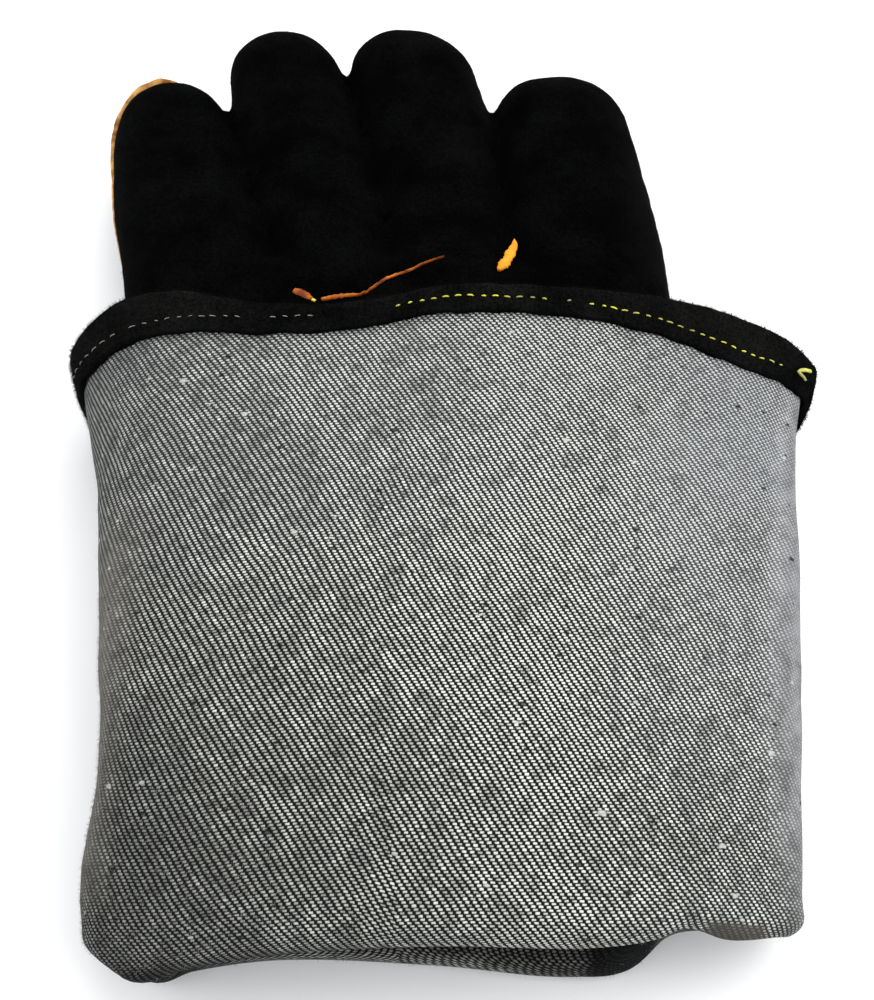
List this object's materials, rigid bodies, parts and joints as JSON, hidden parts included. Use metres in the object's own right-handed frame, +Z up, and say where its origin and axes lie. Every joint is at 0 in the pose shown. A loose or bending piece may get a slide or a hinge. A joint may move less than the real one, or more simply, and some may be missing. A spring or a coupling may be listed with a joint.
{
  "type": "heat resistant leather glove",
  "caption": "Long black split leather glove for the right hand, lying palm up with its denim lined cuff turned inside out and folded back over the hand.",
  "frame": {"origin": "middle of the glove's footprint, on the surface that it lies on", "axes": "+Y from the folded cuff towards the fingertips, +X towards the thumb side, +Z up from the surface, out of the palm"},
  "size_m": [0.1922, 0.2706, 0.0509],
  "materials": {
    "black_suede": "matt split leather with a short nap",
    "grey_denim": "3/1 twill, pale weft floats over black warp",
    "black_binding": "thin dark leather strip with a slight sheen",
    "orange_welt": "bright orange leather piping"
  },
  "bodies": {
    "root": {"palm_leather": "black_suede", "back_leather": "black_suede", "little_finger_front": "black_suede", "ring_finger_front": "black_suede", "middle_finger_front": "black_suede", "index_finger_front": "black_suede", "little_finger_back": "black_suede", "ring_finger_back": "black_suede", "middle_finger_back": "black_suede", "index_finger_back": "black_suede", "thumb_leather": "black_suede", "cuff_leather_front": "black_suede", "cuff_leather_back": "black_suede", "denim_lining_front": "grey_denim", "denim_lining_back": "grey_denim", "hem_binding": "black_binding", "little_finger_welt": "orange_welt", "middle_fingers_welt": "orange_welt", "fork_welt": "orange_welt"}
  },
  "joints": []
}
